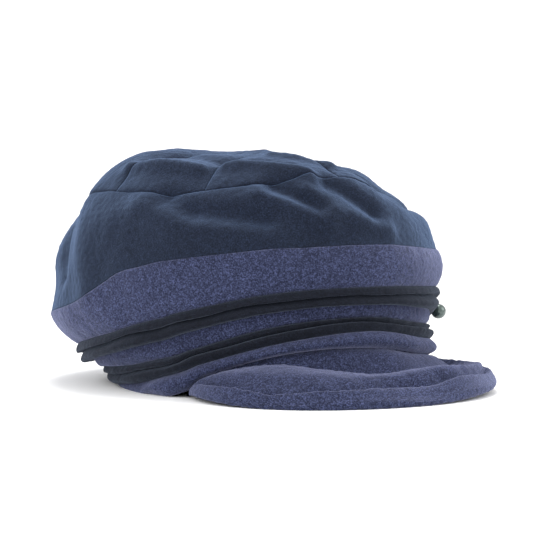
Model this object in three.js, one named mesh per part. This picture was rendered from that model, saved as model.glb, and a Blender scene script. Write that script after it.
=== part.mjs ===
// A soft fleece cap with a peak, lying by itself on a table: a puffy top of eight wedges, a navy side
// wall, heather bands with two folded navy strips between them, a heather peak and one sewn-on bead.
// Millimetres, +Z up, front towards -Y, the wearer's right towards -X.
import * as THREE from "three";

// Rings of the wall, about the middle of the head opening
const hemRadius = 97;
const overhangRadius = 130;
const overhangShift = 27; // the widest ring's centre lies this far behind the hem's
const tipRadius = 105; // seam round the top
const tipShift = 31;
const apexShift = 10; // where the wedges meet

// Heights and the widths of the bands
const crownHeight = 150;
const archRise = 29; // how far the hem lifts over the peak
const lowerBandWidth = 10;
const lowerFoldWidth = 10;
const middleBandWidth = 10;
const upperFoldWidth = 12;
const upperBandWidth = 26;

// Cloth
const clothThickness = 3;
const seamGap = 0.4; // between two pieces that are sewn together

// How far a piece swells between its seams
const lowerBandPuff = 5.5;
const middleBandPuff = 1;
const upperBandPuff = 3;
const lowerFoldPuff = 4;
const upperFoldPuff = 6.5;
const sidePuff = 5;
const wedgePuff = 4;

// Folds and dents of the loose crown
const creaseWidth = 7;
const creaseLift = 3;

// Peak
const peakReach = 56; // from the hem to the edge, at the front
const peakHalfSpan = 65; // degrees each way from the front
const peakThickness = 5.5;
const peakCornerReach = 2.5;
const peakDip = 4; // hollow inside the raised ridge
const peakDipRun = 20; // from hem to ridge, where the hollow has its whole depth
const peakSwell = 2.5; // of the brim outside the ridge
const peakSwellRun = 25; // width of brim that swells to the full
const stitchInset = 13; // from the edge to the sewn groove
const stitchDepth = 2.2;

// Bead
const beadDiameter = 10.4;
const beadTurn = -70;
const beadUp = 0.55; // share of the way up the upper folded strip, against its lower lip
const beadSink = 0.8; // how far it sinks in between the strip's two lips

// Facets
const ringStations = 64;
const sideStations = 84;
const wedgeStations = 7;
const peakStations = 34;
const beadSides = 14;

const navyFleece = new THREE.MeshStandardMaterial({
  name: "navy_fleece",
  color: "#2c3444",
  roughness: 0.95,
});
const heatherFleece = new THREE.MeshStandardMaterial({
  name: "heather_fleece",
  color: "#4d5277",
  roughness: 0.95,
});
const pearl = new THREE.MeshStandardMaterial({
  name: "pearl",
  color: "#7d8a88",
  roughness: 0.2,
  metalness: 0.3,
});

function table(columns, rows) {
  return rows.map((row) => Object.fromEntries(columns.map((column, i) => [column, row[i]])));
}

// Sections round the head, by the turn from the front towards the wearer's right, in degrees.
// hem: share of archRise. tuck: how far the hem folds under, as a share of lowerBandWidth.
// Bands: the rise of each, as a share of its width. seam: where the top's seam lies between the
// overhang and the crown's height. ramp: share of the top's fall to that seam that comes early.
// spread: share of the overhang that a ring keeps there.
const bands = ["lowerBand", "lowerFold", "middleBand", "upperFold", "upperBand"];
const sections = table(
  ["turn", "hem", "tuck", ...bands, "seam", "ramp", "spread"],
  [
    [0, 1, 0, 1, 0.8, 0.8, 0.85, 0.95, 0.67, 0.9, 0.85],
    [30, 0.93, 0, 0.7, 0.9, 0.9, 0.85, 0.95, 0.61, 0.7, 0.75],
    [60, 0.43, 0, 0.8, 0.8, 1, 1, 1.15, 0.56, 0.4, 0.7],
    [67, 0.14, -0.2, 1.18, 0.83, 1.01, 1.02, 1.18, 0.58, 0.33, 0.715],
    [75, 0, -0.4, 1.2, 0.9, 1, 1, 1.15, 0.62, 0.25, 0.75],
    [90, 0, 0.3, 0.6, 1, 0.9, 0.85, 0.8, 0.7, 0.15, 0.85],
    [120, 0, 0.7, 0.2, 0.9, 0.45, 0.8, 0.75, 0.63, 0.15, 1],
    [150, 0, 0.7, 0.2, 0.6, 0.5, 0.7, 0.7, 0.6, 0.15, 1],
    [180, 0, 0.8, 0.2, 0.55, 0.5, 0.7, 0.7, 0.6, 0.15, 1],
    [210, 0, 0.7, 0.25, 0.6, 0.5, 0.7, 0.7, 0.6, 0.2, 1],
    [240, 0, 0.4, 0.4, 0.8, 0.6, 0.85, 0.7, 0.58, 0.25, 1],
    [270, 0, -0.1, 0.9, 1, 1, 1.1, 0.95, 0.5, 0.4, 0.85],
    [285, 0.25, -0.1, 1.1, 0.9, 0.9, 1.2, 0.9, 0.45, 0.55, 0.8],
    [300, 0.57, 0, 1, 0.9, 0.9, 1.25, 0.9, 0.42, 0.65, 0.72],
    [330, 0.77, 0, 1, 0.9, 0.9, 1.1, 0.9, 0.4, 0.75, 0.75],
  ],
);

// Lines between the pieces, from the hem up. reach: share of the overhang past the hem. shift: share of
// overhangShift. band: the column of sections whose rise ends at this line.
const lines = [
  { name: "hem", reach: 0, shift: 0 },
  { name: "lowerBandTop", reach: 0.08, shift: 0.04, band: "lowerBand", width: lowerBandWidth },
  { name: "lowerFoldTop", reach: 0.22, shift: 0.36, band: "lowerFold", width: lowerFoldWidth },
  { name: "middleBandTop", reach: 0.37, shift: 0.46, band: "middleBand", width: middleBandWidth },
  { name: "upperFoldTop", reach: 0.64, shift: 0.56, band: "upperFold", width: upperFoldWidth },
  { name: "overhang", reach: 1, shift: 1, band: "upperBand", width: upperBandWidth },
];

// Turns of the seams between the top's wedges
const wedgeSeams = [3, 48, 84, 130, 180, 228, 276, 318];

// Folds and dents of the crown, each a straight run over the wall from one turn and level to another.
// Level 5 is the overhang, 6 the seam round the top and 7 the apex. width: share of creaseWidth. lift:
// share of creaseLift, negative in a hollow.
const creases = table(
  ["turn", "level", "toTurn", "toLevel", "width", "lift"],
  [
    [68, 5.82, 56, 5.53, 1.7, 1.1],
    [47, 5.37, 28, 5.18, 1.6, 1.1],
    [60, 5.88, 54, 5.7, 1.1, -1.2],
    [49, 5.6, 30, 5.42, 1.2, -1.5],
    [30, 5.82, 12, 5.27, 0.9, 1.1],
    [26, 5.85, 14, 5.52, 1, -1.3],
    [17, 5.76, 11, 5.46, 0.9, 1],
    [7, 5.35, -8, 5.2, 1, 0.8],
    [8, 5.85, -4, 5.45, 1, -1.2],
    [100, 5.95, 88, 5.1, 1.8, 0.8],
    [113, 5.75, 106, 5.3, 1, -0.8],
    [86, 6.13, 54, 6.15, 0.8, 1],
    [80, 6.36, 52, 6.34, 1.1, -0.9],
    [44, 6.2, 14, 6.02, 0.8, 1],
    [42, 6.4, 20, 6.24, 1, -0.9],
    [22, 6.6, 0, 6.22, 0.8, 0.8],
    [127, 5.85, 122, 5.5, 2, 1],
    [-57, 5.75, -57, 5.45, 2, -0.8],
    [84, 6.3, 84, 6.75, 2, -0.8],
    [-20, 6.15, -65, 6.15, 1.8, -0.9],
  ],
);

// Sections of the peak, by turn. ridge: the raised ridge's share of the way from hem to edge. ridgeUp
// and edgeUp: heights as shares of the hem's height there. inset: share of stitchInset.
const peakSections = table(
  ["turn", "ridge", "ridgeUp", "edgeUp", "inset"],
  [
    [-65, 0.5, 0.95, 0.6, 1],
    [-50, 0.8, 0.75, 0.3, 1],
    [-35, 0.7, 0.75, 0.2, 1.2],
    [-20, 0.57, 0.7, 0.1, 1.5],
    [0, 0.43, 0.57, 0, 1.5],
    [20, 0.3, 0.65, 0, 0.8],
    [35, 0.17, 0.82, 0, 0.65],
    [50, 0.1, 0.92, 0.1, 0.6],
    [65, 0.3, 0.9, 0.3, 0.6],
  ],
);

// The value of a column at a turn: a smooth curve through the rows. A period joins the last row to
// the first.
function valueAt(rows, column, turn, period = 0) {
  const place = period ? THREE.MathUtils.euclideanModulo(turn, period) : turn;
  const next = rows.findIndex((row) => row.turn > place);
  const high = next < 0 ? (period ? rows.length : rows.length - 1) : Math.max(next, 1);
  const row = (i) => {
    if (!period) return rows[THREE.MathUtils.clamp(i, 0, rows.length - 1)];
    const lap = Math.floor(i / rows.length);
    const base = rows[i - lap * rows.length];
    return { [column]: base[column], turn: base.turn + lap * period };
  };
  const [a, b, c, d] = [row(high - 2), row(high - 1), row(high), row(high + 1)];
  const span = c.turn - b.turn;
  const t = THREE.MathUtils.clamp((place - b.turn) / span, 0, 1);
  const leave = (span * (c[column] - a[column])) / (c.turn - a.turn);
  const arrive = (span * (d[column] - b[column])) / (d.turn - b.turn);
  const rise = c[column] - b[column];
  const bend = t * t * (3 * rise - 2 * leave - arrive);
  return b[column] + t * leave + bend + t ** 3 * (leave + arrive - 2 * rise);
}

const fullTurn = 360;
const around = (column, turn) => valueAt(sections, column, turn, fullTurn);

function onRing(turn, radius, shift, height) {
  const angle = THREE.MathUtils.degToRad(turn);
  return new THREE.Vector3(-radius * Math.sin(angle), -radius * Math.cos(angle) + shift, height);
}

// A point on one of the lines between the pieces.
function linePoint(index, turn) {
  const line = lines[index];
  const overhang = (overhangRadius - hemRadius) * line.reach * around("spread", turn);
  const tuck = index === 0 ? lowerBandWidth * around("tuck", turn) : 0;
  let height = archRise * around("hem", turn);
  for (const { band, width } of lines.slice(1, index + 1)) height += width * around(band, turn);
  return onRing(turn, hemRadius + overhang - tuck, overhangShift * line.shift, Math.max(height, 0));
}

// A point on the top: share 1 is its seam, 0 the apex.
const shoulder = 6; // the higher, the later and sharper the top falls off to its seam
const slopeBend = 0.85; // 1 is a plain cone round the apex, and less is a finer point
function tipPoint(share, turn) {
  const overhang = linePoint(lines.length - 1, turn).z;
  const seam = overhang + (crownHeight - overhang) * around("seam", turn);
  const ramp = around("ramp", turn);
  const fall = ramp * share ** slopeBend + (1 - ramp) * share ** shoulder;
  const shift = apexShift + (tipShift - apexShift) * share;
  return onRing(turn, tipRadius * share, shift, crownHeight - (crownHeight - seam) * fall);
}

// The wall as one surface: whole numbers of level are the lines, then the top's seam, then the apex.
const seamLevel = lines.length;
const apexLevel = seamLevel + 1;
function wallPoint(level, turn) {
  if (level >= seamLevel) return tipPoint(apexLevel - level, turn);
  const low = Math.max(0, Math.min(Math.floor(level), seamLevel - 1));
  const high = low + 1 < seamLevel ? linePoint(low + 1, turn) : tipPoint(1, turn);
  return linePoint(low, turn).lerp(high, level - low);
}

// The wall's outward direction, smoothed over the seams so that two pieces share it where they meet.
const levelStep = 0.12;
const turnStep = 1.5;
const apexSteady = 0.3; // share of the top round the apex where the direction turns upright
function wallNormal(level, turn) {
  const up = wallPoint(Math.min(level + levelStep, apexLevel - 0.01), turn).sub(
    wallPoint(Math.max(level - levelStep, 0), turn),
  );
  const along = wallPoint(level, turn + turnStep).sub(wallPoint(level, turn - turnStep));
  const normal = along.cross(up).negate();
  const steady = Math.min((apexLevel - level) / apexSteady, 1);
  return normal.multiply(new THREE.Vector3(steady, steady, 1)).normalize();
}

// How far the folds and dents lift the wall at a point.
function liftAt(level, turn) {
  const point = wallPoint(level, turn);
  let lift = 0;
  for (const crease of creases) {
    const start = wallPoint(crease.level, crease.turn);
    const end = wallPoint(crease.toLevel, crease.toTurn);
    const nearest = new THREE.Line3(start, end).closestPointToPoint(point, true, new THREE.Vector3());
    const away = nearest.distanceTo(point) / (creaseWidth * crease.width);
    lift += creaseLift * crease.lift * Math.exp(-(away ** 2));
  }
  return lift;
}

// A point off the wall. The cloth is pressed flat where it would go through the table: its outer face
// stays on the table and its inner face lies on the outer one.
function offWall(level, turn, distance, lowest = 0) {
  const point = wallPoint(level, turn);
  point.addScaledVector(wallNormal(level, turn), distance + liftAt(level, turn));
  point.z = Math.max(point.z, lowest);
  return point;
}

// A closed shell between an outer and an inner grid of points. A ring closes on itself, and its grids
// may differ in rows; an open shell's grids have the same rows.
function shell(outer, inner, isRing) {
  const positions = [];
  const add = (grid) => grid.map((row) => row.map((p) => positions.push(p.x, p.y, p.z) / 3 - 1));
  const out = add(outer);
  const into = add(inner);
  const triangles = [];
  const quad = (a, b, c, d) => triangles.push(a, b, c, a, c, d);
  const columns = outer[0].length;
  const spans = isRing ? columns : columns - 1;
  const next = (j) => (j + 1) % columns;
  for (let j = 0; j < spans; j += 1) {
    for (let i = 0; i + 1 < out.length; i += 1)
      quad(out[i][j], out[i][next(j)], out[i + 1][next(j)], out[i + 1][j]);
    for (let i = 0; i + 1 < into.length; i += 1)
      quad(into[i][j], into[i + 1][j], into[i + 1][next(j)], into[i][next(j)]);
    quad(into[0][j], into[0][next(j)], out[0][next(j)], out[0][j]);
    quad(out.at(-1)[j], out.at(-1)[next(j)], into.at(-1)[next(j)], into.at(-1)[j]);
  }
  if (!isRing)
    for (let i = 0; i + 1 < out.length; i += 1) {
      quad(into[i][0], out[i][0], out[i + 1][0], into[i + 1][0]);
      quad(out[i].at(-1), into[i].at(-1), into[i + 1].at(-1), out[i + 1].at(-1));
    }
  const geometry = new THREE.BufferGeometry();
  geometry.setAttribute("position", new THREE.Float32BufferAttribute(positions, 3));
  geometry.setIndex(signedVolume(positions, triangles) < 0 ? triangles.reverse() : triangles);
  geometry.computeVertexNormals();
  return geometry;
}

function signedVolume(positions, triangles) {
  const corner = (i) => new THREE.Vector3().fromArray(positions, 3 * i);
  let volume = 0;
  for (let i = 0; i < triangles.length; i += 3) {
    const [a, b, c] = triangles.slice(i, i + 3).map(corner);
    volume += a.dot(b.cross(c)) / 6;
  }
  return volume;
}

const shares = (count) => Array.from({ length: count + 1 }, (_, i) => i / count);

// Swelling across a piece, by the share of the way from its lower to its upper seam.
const plainSwell = (share) => Math.sin(Math.PI * share) ** 0.7;
const sideSwell = (share) => Math.sin(Math.PI * share ** 1.5) ** 0.8;
const foldSplit = 0.6; // a folded strip's wide lower lip ends here and its narrow upper lip begins
const upperLip = 0.75; // its height beside the lower lip's
const wholeShare = 0.6; // of a strip's swell that runs over both lips
const lipShare = 0.5; // and that each lip has of its own
function lipSwell(share) {
  const isLower = share < foldSplit;
  const along = isLower ? share / foldSplit : (share - foldSplit) / (1 - foldSplit);
  const whole = Math.sin(Math.PI * share) ** 0.6;
  const lip = Math.sin(Math.PI * along) ** 0.7;
  return (isLower ? 1 : upperLip) * (wholeShare * whole + lipShare * lip);
}

// A ring of the wall from one line to the next, swelling outwards between its two seams. A folded
// strip keeps its inner face plain.
function wallRing({ low, puff, swell = plainSwell, rows, innerRows, stations = ringStations }) {
  const turns = shares(stations).slice(0, -1).map((share) => fullTurn * share);
  const gapAt = (turn) => seamGap / 2 / wallPoint(low, turn).distanceTo(wallPoint(low + 1, turn));
  const levelAt = (share, turn) => THREE.MathUtils.lerp(low + gapAt(turn), low + 1 - gapAt(turn), share);
  const ringAt = (share, distance, lowest) =>
    turns.map((turn) => offWall(levelAt(share, turn), turn, distance, lowest));
  const innerPuff = swell === lipSwell ? 0 : puff;
  const outer = shares(rows).map((share) => ringAt(share, puff * swell(share), 0));
  const inner = shares(innerRows).map((share) =>
    ringAt(share, innerPuff * swell(share) - clothThickness, clothThickness),
  );
  return shell(outer, inner, true);
}

// One wedge of the top, between two radial seams and the seam round the top.
const wedgeRows = [0.008, 0.2, 0.4, 0.58, 0.73, 0.85, 0.94, 1 - seamGap / 2 / tipRadius];
function wedge(fromTurn, toTurn) {
  const columns = shares(wedgeStations);
  const swell = (share, across) =>
    wedgePuff * Math.sin(Math.PI * across) ** 0.6 * Math.sin(Math.PI * share ** 2.5) ** 0.5;
  const pointAt = (share, across, distance) => {
    const inset = THREE.MathUtils.radToDeg(Math.asin(seamGap / 2 / (tipRadius * share)));
    const turn = THREE.MathUtils.lerp(fromTurn + inset, toTurn - inset, across);
    return offWall(apexLevel - share, turn, distance + swell(share, across));
  };
  const grid = (distance) =>
    wedgeRows.map((share) => columns.map((across) => pointAt(share, across, distance)));
  return shell(grid(0), grid(-clothThickness), false);
}

// The peak hangs from the hem: an inner slope, a hollow, a raised ridge and a padded brim whose edge
// is sewn through once.
function peakEdgeReach(turn) {
  const share = 1 - Math.abs(turn / peakHalfSpan) ** 2.7;
  return peakCornerReach + (peakReach - peakCornerReach) * Math.max(share, 0) ** 0.9;
}

function peakSection(turn) {
  const hem = linePoint(0, turn);
  const outward = new THREE.Vector3(hem.x, hem.y, 0).normalize();
  const place = (reach, height) =>
    new THREE.Vector3(hem.x, hem.y, Math.max(height, 0)).addScaledVector(outward, reach);
  const edge = peakEdgeReach(turn);
  const ridge = edge * valueAt(peakSections, "ridge", turn);
  const hemUp = hem.z - seamGap;
  const ridgeUp = hem.z * valueAt(peakSections, "ridgeUp", turn);
  const drop = hemUp - ridgeUp;
  const edgeUp = Math.max(hem.z * valueAt(peakSections, "edgeUp", turn), 0);
  const fullness = (edge - peakCornerReach) / (peakReach - peakCornerReach);
  const thickness = peakThickness * THREE.MathUtils.lerp(0.4, 1, Math.sqrt(fullness));
  const edgeTop = edgeUp + thickness;
  const dip = peakDip * Math.min(1, ridge / peakDipRun);
  const brim = edge - ridge;
  const full = Math.min(1, brim / peakSwellRun);
  const swell = peakSwell * full;
  const stitch = Math.min(stitchInset * valueAt(peakSections, "inset", turn), 0.5 * brim);
  const field = brim - stitch;
  const slope = (reach) => THREE.MathUtils.lerp(ridgeUp, edgeTop, (reach - ridge) / brim);
  const onBrim = (reach, lift) => place(reach, slope(reach) + lift);
  const top = [
    place(0, hemUp),
    place(0.2 * ridge, hemUp - 0.25 * drop),
    place(0.4 * ridge, hemUp - 0.7 * drop - 0.3 * dip),
    place(0.62 * ridge, ridgeUp - dip),
    place(0.85 * ridge, ridgeUp - 0.4 * dip),
    place(ridge, ridgeUp),
    onBrim(ridge + 0.25 * field, 0.7 * swell),
    onBrim(ridge + 0.6 * field, swell),
    onBrim(edge - stitch, -stitchDepth * full),
    onBrim(edge - 0.55 * stitch, 0.8 * swell),
    place(edge - 0.2 * stitch, edgeTop + 0.15 * swell),
    place(edge, edgeUp + 0.55 * thickness),
  ];
  const under = [
    place(-clothThickness, hemUp),
    place(0.15 * ridge - clothThickness, hemUp - 0.3 * drop - 0.3 * thickness),
    place(0.3 * ridge, hemUp - 0.7 * drop - dip - 0.7 * thickness),
    place(0.6 * ridge, ridgeUp - dip - 0.9 * thickness),
    place(0.8 * ridge, ridgeUp - 0.5 * dip - thickness),
    place(ridge, ridgeUp - thickness),
    onBrim(ridge + 0.25 * field, -thickness),
    onBrim(ridge + 0.6 * field, -thickness),
    onBrim(edge - stitch, -thickness),
    place(edge - 0.55 * stitch, edgeUp + 0.02 * thickness),
    place(edge - 0.2 * stitch, edgeUp),
    place(edge - 0.05 * stitch, edgeUp + 0.1 * thickness),
  ];
  return { top, under };
}

function peak() {
  const built = shares(peakStations).map((share) => peakSection(peakHalfSpan * (2 * share - 1)));
  const grid = (side) => built[0][side].map((_, i) => built.map((section) => section[side][i]));
  return shell(grid("top"), grid("under"), false);
}

const cap = new THREE.Group();
function addPiece(name, geometry, material, centre = new THREE.Vector3()) {
  const mesh = new THREE.Mesh(geometry, material);
  mesh.name = name;
  mesh.position.copy(centre);
  cap.add(mesh);
}

wedgeSeams.forEach((turn, i) => {
  const next = i + 1 < wedgeSeams.length ? wedgeSeams[i + 1] : wedgeSeams[0] + fullTurn;
  addPiece(`top_wedge_${i + 1}`, wedge(turn, next), navyFleece);
});

const side = { low: 5, puff: sidePuff, swell: sideSwell, rows: 8, innerRows: 3, stations: sideStations };
const upperFold = { low: 3, puff: upperFoldPuff, swell: lipSwell, rows: 7, innerRows: 1 };
const lowerFold = { low: 1, puff: lowerFoldPuff, swell: lipSwell, rows: 7, innerRows: 1 };
addPiece("crown_side", wallRing(side), navyFleece);
const upperBand = { low: 4, puff: upperBandPuff, rows: 5, innerRows: 2 };
const middleBand = { low: 2, puff: middleBandPuff, rows: 3, innerRows: 1 };
const lowerBand = { low: 0, puff: lowerBandPuff, rows: 4, innerRows: 3 };
addPiece("upper_band", wallRing(upperBand), heatherFleece);
addPiece("upper_fold", wallRing(upperFold), navyFleece);
addPiece("middle_band", wallRing(middleBand), heatherFleece);
addPiece("lower_fold", wallRing(lowerFold), navyFleece);
addPiece("lower_band", wallRing(lowerBand), heatherFleece);
addPiece("peak", peak(), heatherFleece);

const beadRadius = beadDiameter / 2;
const beadReach = upperFoldPuff * lipSwell(foldSplit / 2) + seamGap + beadRadius - beadSink;
const beadCentre = offWall(upperFold.low + beadUp, beadTurn, beadReach);
addPiece("bead", new THREE.SphereGeometry(beadRadius, beadSides, beadSides - 4), pearl, beadCentre);

// The origin is the middle of the cap's footprint, on the table.
const box = new THREE.Box3().setFromObject(cap);
cap.position.set(-(box.min.x + box.max.x) / 2, -(box.min.y + box.max.y) / 2, -box.min.z);

export default cap;
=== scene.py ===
"""A soft fleece cap with a peak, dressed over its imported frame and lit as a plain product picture.

Metres, +Z up, front towards -Y, the wearer's right towards -X.
"""

import math

import bpy
import numpy as np
from bpy.props import FloatProperty, FloatVectorProperty, PointerProperty
from bpy.types import Operator, Panel, PropertyGroup
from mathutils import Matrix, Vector


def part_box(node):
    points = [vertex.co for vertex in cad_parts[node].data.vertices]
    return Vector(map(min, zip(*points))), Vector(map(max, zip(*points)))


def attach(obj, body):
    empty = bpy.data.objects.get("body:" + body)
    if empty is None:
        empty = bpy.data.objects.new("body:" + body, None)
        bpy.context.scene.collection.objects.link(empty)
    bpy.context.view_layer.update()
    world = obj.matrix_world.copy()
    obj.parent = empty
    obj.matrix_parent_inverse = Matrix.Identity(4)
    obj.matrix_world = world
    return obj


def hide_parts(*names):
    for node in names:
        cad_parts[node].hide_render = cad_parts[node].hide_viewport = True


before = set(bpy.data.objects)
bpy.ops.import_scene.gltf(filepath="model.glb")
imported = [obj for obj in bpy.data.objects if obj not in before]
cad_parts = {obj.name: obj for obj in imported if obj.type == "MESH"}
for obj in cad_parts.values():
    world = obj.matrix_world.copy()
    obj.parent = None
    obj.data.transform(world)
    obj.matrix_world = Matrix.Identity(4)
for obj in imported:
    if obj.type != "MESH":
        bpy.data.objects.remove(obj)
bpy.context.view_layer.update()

bl_info = {
    "name": "Fleece cap",
    "version": (1, 0, 0),
    "blender": (4, 5, 0),
    "location": "3D View > Sidebar > Cap",
    "description": "Makes a fleece cap with a puffy crown, folded strips and a padded peak",
    "category": "Object",
}


# Colours and lengths


def linear(code):
    """An sRGB hex colour as linear red, green and blue."""
    shares = [int(code[i : i + 2], 16) / 255 for i in (1, 3, 5)]
    return tuple(s / 12.92 if s <= 0.04045 else ((s + 0.055) / 1.055) ** 2.4 for s in shares)


def length(name, millimetres, description):
    return FloatProperty(
        name=name,
        description=description,
        default=millimetres / 1000,
        unit="LENGTH",
        subtype="DISTANCE",
        precision=4,
    )


def colour(name, code, description):
    return FloatVectorProperty(
        name=name,
        description=description,
        default=linear(code),
        size=3,
        min=0,
        max=1,
        subtype="COLOR",
    )


class CapSizes(PropertyGroup):
    hem_radius: length("Hem radius", 97, "Middle of the cloth at the head opening")
    overhang_radius: length("Overhang radius", 130, "Widest ring of the cap")
    overhang_shift: length("Overhang shift", 27, "How far that ring lies behind the hem's")
    tip_radius: length("Top seam radius", 105, "Seam round the top")
    tip_shift: length("Top seam shift", 31, "How far the top's seam lies behind the hem")
    apex_shift: length("Apex shift", 10, "How far the point where the wedges meet lies back")
    crown_height: length("Crown height", 150, "Height of the apex")
    arch_rise: length("Arch rise", 29, "How far the hem lifts over the peak")
    lower_band: length("Lower band", 10, "Width of the rolled band at the hem")
    lower_fold: length("Lower fold", 10, "Width of the lower folded strip")
    middle_band: length("Middle band", 10, "Width of the band between the two strips")
    upper_fold: length("Upper fold", 12, "Width of the upper folded strip")
    upper_band: length("Upper band", 26, "Width of the wide band")
    cloth: length("Cloth", 3, "Thickness of the fleece")
    seam_gap: length("Seam gap", 0.4, "Between two pieces that are sewn together")
    lower_band_puff: length("Lower band swell", 5.5, "Swell of the rolled band")
    middle_band_puff: length("Middle band swell", 1, "Swell of the middle band")
    upper_band_puff: length("Upper band swell", 3, "Swell of the wide band")
    lower_fold_puff: length("Lower fold swell", 4, "How far the lower strip's lips stand out")
    upper_fold_puff: length("Upper fold swell", 6.5, "How far the upper strip's lips stand out")
    side_puff: length("Crown side swell", 5, "Swell of the crown's side wall")
    wedge_puff: length("Wedge swell", 4, "Swell of each wedge of the top")
    crease_width: length("Crease width", 7, "Width of a fold or dent of the crown")
    crease_lift: length("Crease lift", 4, "Height of a fold or depth of a dent")
    slack: length("Slack", 0.6, "Height of the slow waves of loose cloth")
    pucker: length("Pucker", 0.7, "Height of the small gathers beside a seam")
    nap: length("Nap", 0.1, "Height of the unevenness of the pile")
    bead_sink: length("Bead sink", 0.8, "How far the bead sinks in between a strip's two lips")


class PeakSizes(PropertyGroup):
    reach: length("Reach", 56, "From the hem to the edge, at the front")
    half_span: FloatProperty(
        name="Half span",
        description="How far the peak reaches round the hem each way from the front",
        default=math.radians(65),
        subtype="ANGLE",
    )
    thickness: length("Thickness", 5.5, "Both layers and what is between them")
    corner_reach: length("Corner reach", 2.5, "Reach that is left at the corners")
    dip: length("Dip", 4, "Depth of the hollow inside the raised ridge")
    dip_run: length("Dip run", 20, "From hem to ridge, where the hollow has its whole depth")
    swell: length("Swell", 3.1, "Swell of the brim outside the ridge")
    swell_run: length("Swell run", 25, "Width of brim that swells to the full")
    stitch_inset: length("Stitch inset", 13, "From the edge to the sewn groove")
    stitch_depth: length("Stitch depth", 2.2, "Depth of the sewn groove")
    groove: length("Groove", 1.6, "How much deeper the thread pulls the narrow line itself")
    sag: length("Sag", 0.9, "Height of the slow waves of the padding")
    quilt: length("Quilting", 0.5, "Height of the small gathers beside the sewn line")
    nap: length("Nap", 0.16, "Height of the unevenness of the pile")
    stitch_length: length("Stitch length", 2.6, "Length of one stitch")
    stitch_pitch: length("Stitch pitch", 3.6, "From one stitch to the next")
    thread: length("Thread", 0.7, "Thickness of the sewing thread")


class CapColours(PropertyGroup):
    navy: colour("Navy fleece", "#1b2130", "Middle colour of the navy fleece")
    navy_dark: colour("Navy fleece, deep", "#10141c", "Between the fibres of the navy fleece")
    navy_tip: colour("Navy fleece, tips", "#273145", "Tips of the navy fleece's pile")
    # The strips' three colours are the navy fleece's made darker: painted shade for the folded
    # strips.
    strip: colour("Strip fleece", "#161922", "Middle colour of the folded strips")
    strip_painted_shade_dark: colour("Strip fleece, deep", "#0c0e13", "Between the fibres of the strips")
    strip_painted_shade_tip: colour("Strip fleece, tips", "#20242f", "Tips of the strips' pile")
    heather: colour("Heather fleece", "#2d3249", "Middle colour of the heather fleece")
    heather_dark: colour("Heather fleece, dark fibres", "#191c2f", "Dark fibres in the mixture")
    heather_light: colour("Heather fleece, light fibres", "#4b5276", "Light fibres in the mixture")
    pearl: colour("Pearl", "#4a5955", "Lustre of the bead")
    thread: colour("Thread", "#353a5c", "Sewing thread of the peak")
    floor: colour("Floor", "#ffffff", "Table and backdrop")


# Shape of the wall, in shares of the sizes above. Sections round the head go by the turn from
# the front towards the wearer's right, in degrees. hem: of the arch's rise. tuck: of the lower
# band, how far the hem folds under. The bands: of their widths. seam: height of the top's seam
# from the overhang to the apex. ramp: part of the fall that slopes evenly. spread: of the overhang.
SECTION_COLUMNS = (
    "turn hem tuck lower_band lower_fold middle_band upper_fold upper_band seam ramp spread"
)
SECTIONS = [
    (0, 1, 0, 1, 0.8, 0.8, 0.85, 0.95, 0.67, 0.9, 0.85),
    (30, 0.93, 0, 0.7, 0.9, 0.9, 0.85, 0.95, 0.61, 0.7, 0.75),
    (60, 0.43, 0, 0.8, 0.8, 1, 1, 1.15, 0.56, 0.4, 0.7),
    (67, 0.14, -0.2, 1.18, 0.83, 1.01, 1.02, 1.18, 0.58, 0.33, 0.715),
    (75, 0, -0.4, 1.2, 0.9, 1, 1, 1.15, 0.62, 0.25, 0.75),
    (90, 0, 0.3, 0.6, 1, 0.9, 0.85, 0.8, 0.7, 0.15, 0.85),
    (120, 0, 0.7, 0.2, 0.9, 0.45, 0.8, 0.75, 0.63, 0.15, 1),
    (150, 0, 0.7, 0.2, 0.6, 0.5, 0.7, 0.7, 0.6, 0.15, 1),
    (180, 0, 0.8, 0.2, 0.55, 0.5, 0.7, 0.7, 0.6, 0.15, 1),
    (210, 0, 0.7, 0.25, 0.6, 0.5, 0.7, 0.7, 0.6, 0.2, 1),
    (240, 0, 0.4, 0.4, 0.8, 0.6, 0.85, 0.7, 0.58, 0.25, 1),
    (270, 0, -0.1, 0.9, 1, 1, 1.1, 0.95, 0.5, 0.4, 0.85),
    (285, 0.25, -0.1, 1.1, 0.9, 0.9, 1.2, 0.9, 0.45, 0.55, 0.8),
    (300, 0.57, 0, 1, 0.9, 0.9, 1.25, 0.9, 0.42, 0.65, 0.72),
    (330, 0.77, 0, 1, 0.9, 0.9, 1.1, 0.9, 0.4, 0.75, 0.75),
]

# Lines between the pieces from the hem up: share of the overhang, share of its shift, band below.
LINES = [
    (0, 0, None),
    (0.08, 0.04, "lower_band"),
    (0.22, 0.36, "lower_fold"),
    (0.37, 0.46, "middle_band"),
    (0.64, 0.56, "upper_fold"),
    (1, 1, "upper_band"),
]
SEAM_LEVEL = len(LINES)
APEX_LEVEL = SEAM_LEVEL + 1

# Turns of the seams between the top's wedges
WEDGE_SEAMS = [3, 48, 84, 130, 180, 228, 276, 318]

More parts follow.
